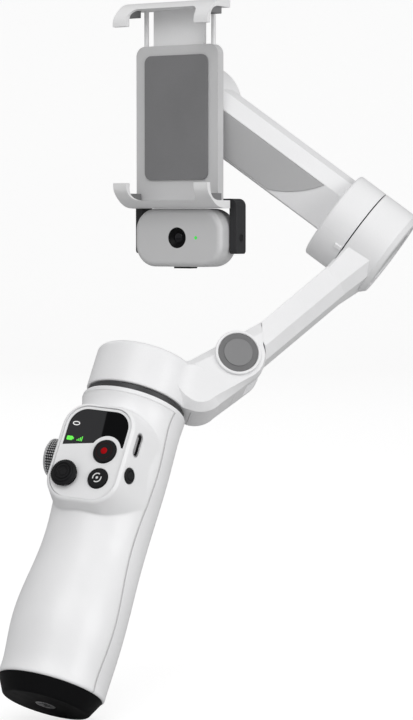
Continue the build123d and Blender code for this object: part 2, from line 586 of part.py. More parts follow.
def index_nub():
    """Small raised mark on the drum beside the seam."""
    nub = slab((-1.0, 1.0), (TILT_R - 1.0, TILT_R + 0.5), (-3.6, -0.6))
    return Rot(0, 0, -78) * rounded(nub, 0.4, lambda e: e.group_by(Axis.Y)[-1])


def cover_plate(grow):
    """Thin front cover of the beam; its end near the drum is a wide round corner."""
    top, low = -9.2 - grow, 6.2 + grow
    near = -TILT_MOVING - 7
    with BuildSketch() as face:
        with BuildLine():
            Line((top, -TILT_TO_ROLL), (top, near - 2 + grow))
            ThreePointArc((top, near - 2 + grow), (-3, near - 7 + grow), (low, near - 20 + grow))
            Line((low, near - 20 + grow), (low, -TILT_TO_ROLL))
            Line((low, -TILT_TO_ROLL), (top, -TILT_TO_ROLL))
        make_face()
    return along_x(face.sketch, BEAM_FACE - 0.8, BEAM_FACE + (0.35 if grow == 0 else 3))


# ---------------------------------------------------------------- phone clamp
def prong_profile():
    """Hook seen from the side: from the bar forward under the phone and up to its tip."""
    with BuildSketch() as side:
        with BuildLine():
            Line((CLAMP_BACK, -BAR_IN), (CLAMP_BACK, -BAR_OUT))
            Line((CLAMP_BACK, -BAR_OUT), (12.0, -BAR_OUT))
            Spline((12.0, -BAR_OUT), (3.2, -BAR_OUT + 1.6), (-2.4, -BAR_OUT + 6.2), (-3.4, -PRONG_TIP),
                   tangents=((-1, 0), (0, 1)))
            Line((-3.4, -PRONG_TIP), (-1.1, -PRONG_TIP))
            Spline((-1.1, -PRONG_TIP), (0.2, -36.4), (6.0, -BAR_IN), tangents=((0, -1), (1, 0)))
            Line((6.0, -BAR_IN), (CLAMP_BACK, -BAR_IN))
        make_face()
    return side.sketch


def jaw_front():
    """Jaw seen from the front: two prongs on a bar, round in the inner corners."""
    inner, outer = PRONG_X
    with BuildSketch() as front:
        with BuildLine():
            Polyline((-outer, -PRONG_TIP), (-outer, -BAR_OUT), (outer, -BAR_OUT), (outer, -PRONG_TIP),
                     (inner, -PRONG_TIP), (inner, -BAR_IN), (-inner, -BAR_IN), (-inner, -PRONG_TIP),
                     (-outer, -PRONG_TIP))
        make_face()
        corners = front.vertices().filter_by(lambda v: abs(v.Y + BAR_IN) < 0.01)
        fillet(corners, 3.0)
    return front.sketch


def make_jaw():
    jaw = along_x(prong_profile(), -PRONG_X[1], PRONG_X[1]) & along_y(jaw_front(), -10, 20)
    return jaw


def jaw_pads(jaw):
    """Soft liners between the hooks and the phone's edge."""
    room = Pos(3.7, -35.1) * Rectangle(9.4, 7.0)
    room -= Pos(10 - 0.1, -25.5) * Rectangle(20, 20)
    pads = []
    for sign in (-1, 1):
        strip = along_x(room, sign * 19.2 - 2.6, sign * 19.2 + 2.6)
        strip = strip - jaw
        pads.append(strip.solids().sort_by(SortBy.VOLUME)[-1])
    return pads


def coil(radius, wire, low, high, turns):
    path = Helix((high - low) / turns, high - low, radius, center=(0, 0, low))
    start = Plane(origin=path @ 0, z_dir=path % 0)
    return sweep(start * Circle(wire), path=path)


def build_clamp():
    jaw = make_jaw()
    body = slab((-19.5, 19.5), (CLAMP_FRONT, CLAMP_BACK), (-BAR_IN, 24))
    body = rounded(body, 4.0, lambda e: e.filter_by(Axis.Y).group_by(Axis.Z)[-1])
    body = rounded(body, 0.6, lambda e: e.group_by(Axis.Y)[-1])
    body -= slab((-12.2, 12.2), (10.6, 12.8), (-25, 30))
    for x in (-16, 16):
        body -= rod(0.95 + 0.05, -36.5, 30, at=(x, 11.7)) + rod(1.7, -36.5, -2, at=(x, 11.7))
    keep("clamp_body", CLAMP, body)
    keep("lower_jaw", CLAMP, jaw)
    back = slab((-15, 15), (8.6, CLAMP_FRONT), (-30, 20))
    back = rounded(back, 3.0, lambda e: e.filter_by(Axis.Y))
    keep("clamp_pads", CLAMP, group(*jaw_pads(jaw), back))
    springs = [Pos(x, 11.7, 0) * coil(1.25, 0.25, -22.0, -2.3, 7) for x in (-16, 16)]
    keep("clamp_springs", CLAMP, group(*springs))
    upper = mirror(jaw, Plane.XY)
    upper += slab((-12, 12), (10.8, 12.6), (-5, BAR_IN + 0.5))
    for x in (-16, 16):
        upper += rod(0.95, 20, BAR_IN + 1, at=(x, 11.7))
    rods = [rod(0.95, -22.5, 20, at=(x, 11.7)) + rod(1.5, -24, -22.5, at=(x, 11.7)) for x in (-16, 16)]
    keep("upper_jaw", CLAMP, upper)
    keep("upper_jaw_pads", CLAMP, group(*[mirror(pad, Plane.XY) for pad in jaw_pads(jaw)]))
    keep("guide_rods", CLAMP, group(*rods))
    rotor = rod(15.8, -4.0, -3.0) + rod(4.5, -3.0, 0.6) + tube(14.4, 4.0, -3.0, -1.8)
    rotor += tube(14.4, 13.2, -1.8, 9.6) + tube(13.2, 11.6, 2.0, 8.8) + rod(2.0 - FIT, 0.6, 11.4)
    keep("roll_rotor", ROLL, rotor)


# ---------------------------------------------------------------- tracking camera
def build_tracker():
    half_x, arm_top = 20.7, -37.6
    low, high = TRACKER_Z - TRACKER_HALF, TRACKER_Z + TRACKER_HALF
    frame = slab((-24.2, 24.2), (15.8, 23.2), (-59.8, arm_top))
    frame = rounded(frame, 3.0, lambda e: e.filter_by(Axis.Y).group_by(Axis.Z)[-1])
    frame = rounded(frame, 1.4, lambda e: e.filter_by(Axis.X).group_by(Axis.Z)[0])
    frame -= slab((-21.0, 21.0), (10, 30), (-70, high + 0.5))
    frame += slab((-10, 10), (CLAMP_BACK, 15.8), (-40.5, -28)) + slab((-10, 10), (15.8, 17.6), (arm_top - 1, -28))
    frame -= axle_x(1.5 + FIT, -30, 30, PIVOT_Y, TRACKER_Z)
    keep("tracker_bracket", CLAMP, frame)
    outline = Pos(0, TRACKER_Z) * RectangleRounded(2 * half_x, 2 * TRACKER_HALF, 9.0)
    module = along_y(outline, *TRACKER_Y)
    module = rounded(module, 2.2, lambda e: e.group_by(Axis.Y)[0])
    module = rounded(module, 4.5, lambda e: e.group_by(Axis.Y)[-1])
    inner = Pos(0, TRACKER_Z) * RectangleRounded(2 * half_x - 3.2, 2 * TRACKER_HALF - 3.2, 7.4)
    shell = module - along_y(inner, TRACKER_Y[0] + 1.6, TRACKER_Y[1] - 2.0)
    shell -= along_y(Pos(0, TRACKER_Z) * Circle(4.2), 0, 12)
    shell -= along_y(Pos(8.9, TRACKER_Z) * Circle(0.7), 0, 12)
    shell -= axle_x(1.5, -30, 30, PIVOT_Y, TRACKER_Z)
    keep("tracker_front_shell", CLAMP, shell & slab((-40, 40), (0, 16.8), (-90, 0)))
    keep("tracker_rear_shell", CLAMP, shell & slab((-40, 40), (16.8, 40), (-90, 0)))
    lens = along_y(Pos(0, TRACKER_Z) * Circle(4.2), TRACKER_Y[0] - 0.1, 15)
    lens -= along_y(Pos(0, TRACKER_Z) * Circle(2.6), 0, TRACKER_Y[0] + 0.9)
    keep("tracker_lens", CLAMP, lens)
    keep("tracker_light", CLAMP, along_y(Pos(8.9, TRACKER_Z) * Circle(0.7), TRACKER_Y[0] + 0.1, 14))
    keep("tracker_board", CLAMP, slab((-15, 15), (15, 16.4), (TRACKER_Z - 7, TRACKER_Z + 7)))
    pins = []
    for sign in (-1, 1):
        ends = sorted((sign * (half_x - 3), sign * 24.0))
        pins.append(axle_x(1.5, ends[0], ends[1], PIVOT_Y, TRACKER_Z))
    keep("tracker_pins", CLAMP, group(*pins))
    keep("tracker_foot", CLAMP, slab((-4, 4), (13.5, 18.5), (low - 0.7, low)))


make_grip()
make_foot()
make_neck()
make_panel()
make_controls()
make_joystick()
make_wheel()
make_trigger()
make_handle_insides()
build_lower_arm()
build_upper_arm()
build_tilt_arm()
build_clamp()
build_tracker()

os.makedirs("parts", exist_ok=True)
for name, shape in nodes.items():
    export_step(shape, f"parts/{name}.step")
print(len(nodes), "nodes written")
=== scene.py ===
# Looks of a handheld phone gimbal: materials, knurled and ridged controls, display symbols, screw
# thread and lens, with the stage, the lights and the camera. Lengths are metres in the frame's axes.
import json
from math import cos, floor, pi, radians, sin

import bpy
from mathutils import Matrix, Vector


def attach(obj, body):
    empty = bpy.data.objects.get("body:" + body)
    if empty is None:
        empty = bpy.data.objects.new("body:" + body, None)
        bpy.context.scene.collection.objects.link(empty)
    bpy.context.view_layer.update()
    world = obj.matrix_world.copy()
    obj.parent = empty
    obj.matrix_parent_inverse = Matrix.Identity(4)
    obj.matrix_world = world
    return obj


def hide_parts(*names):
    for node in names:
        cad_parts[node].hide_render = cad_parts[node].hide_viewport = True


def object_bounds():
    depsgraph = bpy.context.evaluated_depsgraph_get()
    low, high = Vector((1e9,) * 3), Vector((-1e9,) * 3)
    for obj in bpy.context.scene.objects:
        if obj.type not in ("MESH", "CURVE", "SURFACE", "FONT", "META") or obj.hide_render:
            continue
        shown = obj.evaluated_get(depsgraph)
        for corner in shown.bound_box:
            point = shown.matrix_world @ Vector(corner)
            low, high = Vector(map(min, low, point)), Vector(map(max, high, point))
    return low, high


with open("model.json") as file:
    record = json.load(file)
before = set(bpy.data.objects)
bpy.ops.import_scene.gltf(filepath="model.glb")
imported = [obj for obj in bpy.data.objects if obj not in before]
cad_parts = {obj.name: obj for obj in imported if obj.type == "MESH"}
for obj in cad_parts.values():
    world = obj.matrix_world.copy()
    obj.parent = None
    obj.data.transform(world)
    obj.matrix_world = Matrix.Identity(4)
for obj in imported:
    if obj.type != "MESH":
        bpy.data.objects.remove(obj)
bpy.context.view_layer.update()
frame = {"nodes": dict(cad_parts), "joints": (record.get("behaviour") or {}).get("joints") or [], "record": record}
NODES = frame["nodes"]
JOINTS = {joint["name"]: joint for joint in frame["joints"]}
SLOT_OF = {part["node"]: part["material_slot"] for part in frame["record"]["subparts"]}
MM = 0.001

# directions of the handle: along it, across the control face, and into the control face
UP = Vector(JOINTS["pan"]["axis"])
SIDE = Vector(JOINTS["zoom_spin"]["axis"])
INWARD = Vector(JOINTS["record_press"]["axis"])
POWER_OUT = -Vector(JOINTS["power_press"]["axis"])

# directions of the tracking camera: right, up, and out of the lens
RIGHT = Vector((1, 0, 0))
TOP = Vector((0, 0, 1))
LENS_OUT = Vector((0, -1, 0))


# ---------------------------------------------------------------- places
def span(node, axis):
    """Lowest and highest reach of a CAD node along a direction."""
    reach = [vertex.co.dot(axis) for vertex in NODES[node].data.vertices]
    return min(reach), max(reach)


def middle(node, axis):
    low, high = span(node, axis)
    return (low + high) / 2


def half_width(node, axis):
    low, high = span(node, axis)
    return (high - low) / 2


def axes(origin, x, y, z):
    """Matrix of a local frame from its origin and three directions."""
    return Matrix.Translation(origin) @ Matrix((x, y, z)).transposed().to_4x4()


def face_frame(node, out):
    """Frame at the centre of a round control's outer face: z points out, y up the handle."""
    across = UP.cross(out).normalized()
    origin = across * middle(node, across) + UP * middle(node, UP) + out * span(node, out)[1]
    return axes(origin, across, UP, out)


def scaled(profile, radius=MM):
    """Profile in metres from (share of a radius, height in mm) pairs."""
    return [(share * radius, height * MM) for share, height in profile]


# ---------------------------------------------------------------- materials
WHITE = (0.86, 0.86, 0.868)
# near black of the display glass; on the power key it is painted shade in the ring groove
BLACK_AND_RING_SHADE = (0.0015, 0.0015, 0.002, 1)
# black rubber; in the zoom wheel's knurl grooves it is painted shade
RUBBER_AND_KNURL_SHADE = (0.012, 0.012, 0.013, 1)
NOISE_LOW, NOISE_HIGH = 0.3, 0.7
SOFT_EDGE = 0.25 * MM
FINE_GRAIN = 0.008 * MM
ALONG_HANDLE = (1, 1, 0.35)


class Shader:
    """Principled material whose colour, roughness and relief come from nodes."""

    def __init__(self, name):
        self.material = bpy.data.materials.new(name)
        self.material.use_nodes = True
        self.tree = self.material.node_tree
        self.tree.nodes.clear()
        self.surface = self.add("ShaderNodeBsdfPrincipled")
        output = self.add("ShaderNodeOutputMaterial")
        self.tree.links.new(self.surface.outputs[0], output.inputs["Surface"])
        self.where = self.add("ShaderNodeTexCoord").outputs["Object"]

    def add(self, kind, **values):
        node = self.tree.nodes.new(kind)
        for key, value in values.items():
            setattr(node, key, value)
        return node

    def feed(self, socket, value):
        """Link a socket to an input, or set the input to a plain value."""
        if isinstance(value, bpy.types.NodeSocket):
            self.tree.links.new(value, socket)
        else:
            socket.default_value = value

    def put(self, node, **values):
        """Feed inputs by name; an underscore in a keyword stands for a space."""
        for key, value in values.items():
            self.feed(node.inputs[key.replace("_", " ")], value)
        return node

    def noise(self, size, detail=2.0, stretch=(1, 1, 1)):
        """Noise whose features are about size metres across."""
        mapping = self.put(self.add("ShaderNodeMapping"), Vector=self.where, Scale=stretch)
        node = self.add("ShaderNodeTexNoise")
        self.put(node, Vector=mapping.outputs[0], Scale=1 / size, Detail=detail)
        return node.outputs["Fac"]

    def remap(self, value, start, end, low=0.0, high=1.0, kind="LINEAR"):
        """Value carried from start..end to low..high."""
        node = self.put(self.add("ShaderNodeMapRange", interpolation_type=kind), Value=value)
        self.put(node, From_Min=start, From_Max=end, To_Min=low, To_Max=high)
        return node.outputs[0]

    def spread(self, noise, low, high):
        """Noise spread over low..high."""
        return self.remap(noise, NOISE_LOW, NOISE_HIGH, low, high)

    def step(self, value, low, high):
        """Smooth step from 0 at low to 1 at high."""
        return self.remap(value, low, high, kind="SMOOTHSTEP")

    def compute(self, operation, *values):
        node = self.add("ShaderNodeMath", operation=operation)
        for socket, value in zip(node.inputs, values):
            self.feed(socket, value)
        return node.outputs[0]

    def times(self, first, second):
        return self.compute("MULTIPLY", first, second)

    def vector(self, operation, *values):
        node = self.add("ShaderNodeVectorMath", operation=operation)
        for socket, value in zip(node.inputs, values):
            self.feed(socket, value)
        return node.outputs

    def along(self, axis):
        """Distance along a direction."""
        return self.vector("DOT_PRODUCT", self.where, axis)["Value"]

    def off_axis(self, centre, axis):
        """Distance from the axis through a point."""
        offset = self.vector("SUBTRACT", self.where, centre)["Vector"]
        cross = self.vector("CROSS_PRODUCT", offset, axis)["Vector"]
        return self.vector("LENGTH", cross)["Value"]

    def mix(self, factor, first, second):
        node = self.add("ShaderNodeMix", data_type="RGBA")
        for socket, value in ((node.inputs[0], factor), (node.inputs[6], first), (node.inputs[7], second)):
            self.feed(socket, value)
        return node.outputs[2]

    def relief(self, height, depth, edge):
        """Bump over normals that are rounded at sharp edges."""
        bevel = self.put(self.add("ShaderNodeBevel", samples=6), Radius=edge)
        bump = self.add("ShaderNodeBump")
        self.put(bump, Height=height, Distance=depth, Strength=1.0, Normal=bevel.outputs[0])
        self.put(self.surface, Normal=bump.outputs[0])


def shade(colour, factor):
    return tuple(min(1.0, c * factor) for c in colour) + (1.0,)


def moulded(name, colour, rough, grain=0.35, depth=0.008, drift=0.03, coat=0.0, gleam=0.5):
    """Moulded surface: slow colour drift, fine moulding grain, faint handling marks. Sizes in mm."""
    s = Shader(name)
    slow = s.noise(30 * MM, 3)
    fine = s.noise(grain * MM, 3)
    marks = s.noise(6 * MM, 5, ALONG_HANDLE)
    tone = s.mix(s.spread(slow, 0, 1), shade(colour, 1 - drift), shade(colour, 1 + drift))
    tone = s.mix(s.spread(fine, 0, 0.35), tone, shade(colour, 1 - 2 * drift))
    s.put(s.surface, Base_Color=tone, Specular_IOR_Level=gleam, Coat_Weight=coat, Coat_Roughness=0.12)
    s.put(s.surface, Roughness=s.spread(marks, rough - 0.04, rough + 0.05))
    s.relief(fine, depth * MM, SOFT_EDGE)
    return s.material


def turned_metal(name, colour, rough, metal=1.0):
    """Metal with fine tool marks and slight stains."""
    s = Shader(name)
    cuts = s.noise(0.25 * MM, 4, (0.15, 1, 1))
    stain = s.noise(9 * MM, 4)
    s.put(s.surface, Base_Color=s.mix(s.spread(stain, 0, 1), shade(colour, 0.85), shade(colour, 1.1)))
    s.put(s.surface, Metallic=metal, Roughness=s.spread(cuts, rough - 0.08, rough + 0.1))
    s.relief(cuts, 0.006 * MM, 0.15 * MM)
    return s.material


def glossy(name, colour, rough, coat, smudge=0.1, gleam=0.5):
    """Polished surface with faint smudges."""
    s = Shader(name)
    film = s.noise(5 * MM, 5)
    s.put(s.surface, Base_Color=s.mix(s.spread(film, 0, 1), shade(colour, 0.8), shade(colour, 1.2)))
    s.put(s.surface, Roughness=s.spread(film, rough, rough + smudge), Specular_IOR_Level=gleam)
    s.put(s.surface, Coat_Weight=coat, Coat_Roughness=0.02)
    s.relief(s.noise(2 * MM), 0.002 * MM, 0.1 * MM)
    return s.material


def lit(name, colour, power):
    """Small lit symbol or light pipe, brighter in patches."""
    s = Shader(name)
    patches = s.spread(s.noise(0.8 * MM, 1), 0, 1)
    s.put(s.surface, Base_Color=shade(colour, 0.5), Roughness=0.3)
    s.put(s.surface, Emission_Color=s.mix(patches, shade(colour, 0.8), shade(colour, 1.0)))
    s.put(s.surface, Emission_Strength=power)
    return s.material


def display_glass():
    """Black display window; a soft-edged lighter band lies across its left part."""
    along_side, along_up = 0.94, 0.06
    half_blur = 0.35 * MM
    s = Shader("display_glass")
    across = s.along(SIDE * along_side + UP * along_up)
    edge = (middle("display_window", SIDE) + 2.2 * MM) * along_side + middle("display_window", UP) * along_up
    dark = s.step(across, edge - half_blur, edge + half_blur)
    film = s.spread(s.noise(6 * MM, 3), 0.9, 1.1)
    band = s.mix(film, (0.028, 0.028, 0.03, 1), (0.034, 0.034, 0.036, 1))
    s.put(s.surface, Base_Color=s.mix(dark, band, BLACK_AND_RING_SHADE))
    s.put(s.surface, Roughness=s.spread(s.noise(4 * MM, 4), 0.16, 0.24), Specular_IOR_Level=0.08)
    s.relief(s.noise(3 * MM), 0.001 * MM, 0.1 * MM)
    return s.material


def disc_face():
    """Hinge cover: grey ring and lighter plateau, both turned with fine concentric lines."""
    line_pitch = 0.32 * MM
    plateau_radius = 5.5 * MM
    s = Shader("hinge_disc_grey")
    radius = s.off_axis(Vector(JOINTS["fold"]["pos_m"]), Vector(JOINTS["fold"]["axis"]))
    waves = s.compute("SINE", s.times(radius, 2 * pi / line_pitch))
    lines = s.step(waves, -1, 1)
    ring = s.mix(lines, (0.135, 0.135, 0.138, 1), (0.16, 0.16, 0.163, 1))
    plateau = s.mix(lines, (0.2, 0.2, 0.203, 1), (0.235, 0.235, 0.24, 1))
    on_ring = s.step(radius, plateau_radius, plateau_radius + 0.2 * MM)
    s.put(s.surface, Base_Color=s.mix(on_ring, plateau, ring), Coat_Weight=0.1)
    s.put(s.surface, Roughness=s.spread(s.noise(3 * MM, 4), 0.36, 0.44))
    s.relief(lines, 0.01 * MM, 0.2 * MM)
    return s.material


def grip_shell():
    """White shell whose lobe runs softly into the round grip; its rim and openings stay crisp."""
    crisp, soft = 0.7 * MM, 1.8 * MM
    s = Shader("grip_shell")
    slow, fine, marks = s.noise(30 * MM, 3), s.noise(0.35 * MM, 3), s.noise(6 * MM, 5, ALONG_HANDLE)
    tone = s.mix(s.spread(slow, 0, 1), shade(WHITE, 0.97), shade(WHITE, 1.03))
    s.put(s.surface, Base_Color=tone, Coat_Weight=0.12, Coat_Roughness=0.12)
    s.put(s.surface, Roughness=s.spread(marks, 0.38, 0.47))
    face = span("control_panel", INWARD)[0]
    low, high = span("control_panel", UP)
    depth, height = s.along(INWARD), s.along(UP)
    foot = s.step(height, low + 5 * MM, low + 1 * MM)
    head = s.step(height, high - 5 * MM, high - 1 * MM)
    ends = s.compute("MAXIMUM", foot, head)
    flank = s.times(s.step(depth, face + 8 * MM, face + 11 * MM), s.step(s.along(SIDE), 0, 5 * MM))
    behind = s.step(depth, face + 2.5 * MM, face + 5 * MM)
    crease = s.times(behind, s.compute("MAXIMUM", ends, flank))
    s.relief(fine, FINE_GRAIN, s.remap(crease, 0, 1, crisp, soft))
    return s.material


def ringed_button(name, node, out, ring_radius):
    """Black rubber key with a shallow ring moulded round its middle; the ring is painted darker as painted shade
    in its groove.
    """
    half_ring = 0.4 * MM
    s = Shader(name)
    across = UP.cross(out).normalized()
    radius = s.off_axis(across * middle(node, across) + UP * middle(node, UP), out)
    inside = s.step(radius, ring_radius - half_ring, ring_radius)
    outside = s.step(radius, ring_radius + half_ring, ring_radius)
    ring = s.times(inside, outside)
    # painted shade: the ring groove is coloured darker than the rubber round it
    s.put(s.surface, Base_Color=s.mix(ring, RUBBER_AND_KNURL_SHADE, BLACK_AND_RING_SHADE))
    s.put(s.surface, Roughness=s.spread(s.noise(4 * MM, 4), 0.5, 0.6), Specular_IOR_Level=0.2)
    s.relief(ring, -0.25 * MM, 0.3 * MM)
    return s.material


def knurled_metal(radius, tooth_depth, rim_start):
    """Bright teeth with painted shade darkening the grooves between them; the wheel turns about its own z."""
    axis = (0, 0, 1)
    s = Shader("knurled_metal")
    tone = s.mix(s.spread(s.noise(9 * MM, 4), 0, 1), (0.6, 0.6, 0.61, 1), (0.74, 0.74, 0.75, 1))
    reach = s.off_axis((0, 0, 0), axis)
    # painted shade: the deeper into a groove between the teeth, the nearer to black the colour
    groove = s.step(reach, radius - 0.08 * tooth_depth, radius - 0.55 * tooth_depth)
    groove = s.times(groove, s.step(s.along(axis), rim_start, rim_start + 0.1 * MM))
    s.put(s.surface, Base_Color=s.mix(groove, tone, RUBBER_AND_KNURL_SHADE), Metallic=0.8)
    s.put(s.surface, Roughness=s.spread(s.noise(0.3 * MM, 4), 0.3, 0.42))
    s.relief(s.noise(0.25 * MM, 3), 0.004 * MM, 0.05 * MM)
    return s.material


JAW_GREY = (0.84, 0.84, 0.845)
BY_SLOT = {
    "white_shell": moulded("white_shell", WHITE, 0.42, coat=0.12),
    # painted shade: these white parts are coloured grey for the shade a phone in the clamp throws on them
    "gray_arm_plastic": moulded("gray_arm_plastic", (0.6, 0.6, 0.605), 0.42, coat=0.1),
    "black_plastic": moulded("black_plastic", (0.009, 0.009, 0.01), 0.5, 0.3, 0.012, 0.12, gleam=0.3),
    "soft_black": moulded("soft_black", (0.006, 0.006, 0.007), 0.55, 0.22, 0.012, 0.15, gleam=0.2),
    "display_gloss": display_glass(),
    "silver_wheel": turned_metal("silver_wheel", (0.62, 0.62, 0.63), 0.3),
    "steel": turned_metal("steel", (0.56, 0.56, 0.57), 0.28),
    "motor_steel": turned_metal("motor_steel", (0.4, 0.41, 0.42), 0.35),
    "copper_winding": turned_metal("copper_winding", (0.65, 0.3, 0.14), 0.35, 0.4),
    "circuit_board": glossy("circuit_board", (0.02, 0.13, 0.06), 0.3, 0.3),
    "battery_wrap": glossy("battery_wrap", (0.05, 0.12, 0.32), 0.25, 0.4),
    "inner_plastic": moulded("inner_plastic", (0.03, 0.03, 0.032), 0.45, drift=0.1),
    "gray_pad": moulded("gray_pad", (0.2, 0.2, 0.205), 0.7, 0.25, 0.02, 0.08),
    "lens_glass": glossy("lens_glass", (0.002, 0.002, 0.004), 0.03, 0.25, 0.03, 0.2),
}
BY_NODE = {
    "hinge_disc": disc_face(),
    "handle_front_shell": grip_shell(),
    "power_button": ringed_button("power_key", "power_button", POWER_OUT, 1.7 * MM),
    "lower_jaw": moulded("lower_jaw_gray", JAW_GREY, 0.42, coat=0.1),
    "upper_jaw": moulded("upper_jaw_gray", JAW_GREY, 0.42, coat=0.1),
    # painted shade: the white beam is coloured darker grey for the shadow a phone in the clamp throws on it
    "tilt_arm_cover": moulded("beam_painted_shade", (0.5, 0.5, 0.505), 0.42, coat=0.1),
    "tracker_light": lit("tracker_green", (0.05, 0.6, 0.07), 0.9),
    "base_cap": moulded("foot_black", (0.004, 0.004, 0.0045), 0.55, 0.3, 0.012, 0.12, gleam=0.08),
    "tracker_bracket": moulded("bracket_black", (0.028, 0.028, 0.03), 0.5, 0.3, 0.012, 0.1, gleam=0.3),
}
RED = moulded("record_red", (0.38, 0.0, 0.003), 0.5, 0.2, drift=0.08, gleam=0.08)
DARK_RED = moulded("record_ring_red", (0.045, 0.006, 0.006), 0.45, 0.2, drift=0.08, gleam=0.1)
PRINT_WHITE = moulded("printed_white", (0.8, 0.8, 0.8), 0.5, 0.15, drift=0.04)
GLOW_WHITE = lit("symbol_white", (0.75, 0.75, 0.75), 0.9)
GLOW_GREEN = lit("symbol_green", (0.12, 0.75, 0.07), 0.9)
BARREL_BLACK = moulded("lens_barrel_black", (0.002, 0.002, 0.0025), 0.4, 0.2, drift=0.1, gleam=0.12)

for node, obj in NODES.items():
    obj.data.materials.clear()
    obj.data.materials.append(BY_NODE.get(node) or BY_SLOT[SLOT_OF[node]])


# ---------------------------------------------------------------- mesh pieces
def piece(name, points, faces, matrix, material, body, crease=35):
    mesh = bpy.data.meshes.new(name)
    mesh.from_pydata(points, [], faces)
    mesh.materials.append(material)
    mesh.validate()
    mesh.shade_smooth()
    mesh.set_sharp_from_angle(angle=radians(crease))
    obj = bpy.data.objects.new(name, mesh)
    bpy.context.scene.collection.objects.link(obj)
    obj.matrix_world = matrix
    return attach(obj, body)


def turned(name, profile, segments, matrix, material, body, shape=None, crease=35):
    """Closed piece turned about z. profile holds (radius, height) from the low end to the high end,
    outside first; shape(radius, height, angle) may change the radius."""
    points, rings, faces = [], [], []
    for radius, height in profile:
        if radius == 0:
            rings.append([len(points)] * segments)
            points.append((0, 0, height))
            continue
        ring = []
        for k in range(segments):
            angle = 2 * pi * k / segments
            r = shape(radius, height, angle) if shape else radius
            ring.append(len(points))
            points.append((r * cos(angle), r * sin(angle), height))
        rings.append(ring)
    for low, high in zip(rings, rings[1:] + rings[:1]):
        if low[0] == low[1] and high[0] == high[1]:
            continue
        for k in range(segments):
            n = (k + 1) % segments
            corners = [low[k], low[n], high[n], high[k]]
            faces.append(tuple(dict.fromkeys(corners)))
    return piece(name, points, faces, matrix, material, body, crease)


def stand_for(node):
    """Hide the CAD node so that a piece is shown in its place."""
    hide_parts(node)


def plate(name, loops, thickness, matrix, material, body):
    """Thin closed plate. loops holds one outline, or an outer and an inner one with equal counts."""
    points, faces = [], []
    count = len(loops[0])
    for height in (0, thickness):
        for loop in loops:
            points += [(x, y, height) for x, y in loop]
    layer = count * len(loops)
    for ring in range(len(loops)):
        for k in range(count):
            a, b = ring * count + k, ring * count + (k + 1) % count
            side = (a, b, b + layer, a + layer)
            faces.append(side if ring == 0 else side[::-1])
    if len(loops) == 1:
        faces.append(tuple(range(count))[::-1])
        faces.append(tuple(range(layer, layer + count)))
    else:
        for k in range(count):
            n = (k + 1) % count
            faces.append((n, k, count + k, count + n))
            faces.append((layer + k, layer + n, layer + count + n, layer + count + k))
    return piece(name, points, faces, matrix, material, body, 30)


def circle(radius, angles):
    return [(radius * cos(a), radius * sin(a)) for a in angles]


def ellipse(a, b, count, centre=(0, 0)):
    angles = [2 * pi * k / count for k in range(count)]
    return [(centre[0] + a * cos(angle), centre[1] + b * sin(angle)) for angle in angles]


def bar(x, y, width, height):
    """Rectangle with small round corners, centred on x and y."""
    r = min(width, height) * 0.22
    points = []
    for corner, (sx, sy) in enumerate(((1, 1), (-1, 1), (-1, -1), (1, -1))):
        for step in range(4):
            angle = radians(90 * corner + 30 * step)
            right = x + sx * (width / 2 - r) + r * cos(angle)
            points.append((right, y + sy * (height / 2 - r) + r * sin(angle)))
    return points


# ---------------------------------------------------------------- zoom wheel
# square teeth in a grid on the rim, with a rounded outer edge
wheel_low, wheel_high = span("zoom_wheel", SIDE)
wheel_width = wheel_high - wheel_low
wheel_radius = half_width("zoom_wheel", UP)
wheel_centre = Vector(JOINTS["zoom_spin"]["pos_m"])
wheel_centre += SIDE * (wheel_low - wheel_centre.dot(SIDE))
ROWS, TEETH, TOOTH = 7, 44, 0.4 * MM
RIM_START, RIM_END = 1.0 * MM, wheel_width - 0.4 * MM
HUB_RADIUS, HUB_FLOOR = 1.6 * MM, 1.7 * MM
RIM_STEPS = ROWS * 6


def tooth(share):
    """Height of a tooth across one pitch: flat top with sloping sides."""
    offset = abs(share - floor(share) - 0.5) * 2
    return max(0.0, min(1.0, (0.82 - offset) / 0.3))


def knurl(radius, height, angle):
    if not RIM_START <= height <= RIM_END:
        return radius
    row = tooth(ROWS * (height - RIM_START) / (RIM_END - RIM_START))
    return radius - TOOTH * (1 - row * tooth(TEETH * angle / (2 * pi)))


outline = [(0, 0), (wheel_radius * 0.62, 0), (wheel_radius * 0.66, 0.25 * MM), (wheel_radius * 0.72, 0)]
for degrees in range(0, 90, 18):
    inset = RIM_START * (1 - sin(radians(degrees)))
    outline.append((wheel_radius - inset, RIM_START * (1 - cos(radians(degrees)))))
for k in range(RIM_STEPS + 1):
    outline.append((wheel_radius, RIM_START + (RIM_END - RIM_START) * k / RIM_STEPS))
outline += [(wheel_radius - 0.3 * MM, wheel_width), (HUB_RADIUS, wheel_width)]
outline += [(HUB_RADIUS, HUB_FLOOR), (0, HUB_FLOOR)]
wheel_frame = axes(wheel_centre, UP.cross(SIDE), UP, SIDE)
wheel_metal = knurled_metal(wheel_radius, TOOTH, RIM_START)
wheel = turned("knurled_wheel", outline, TEETH * 8, wheel_frame, wheel_metal, "zoom_wheel", knurl, 40)
stand_for("zoom_wheel")

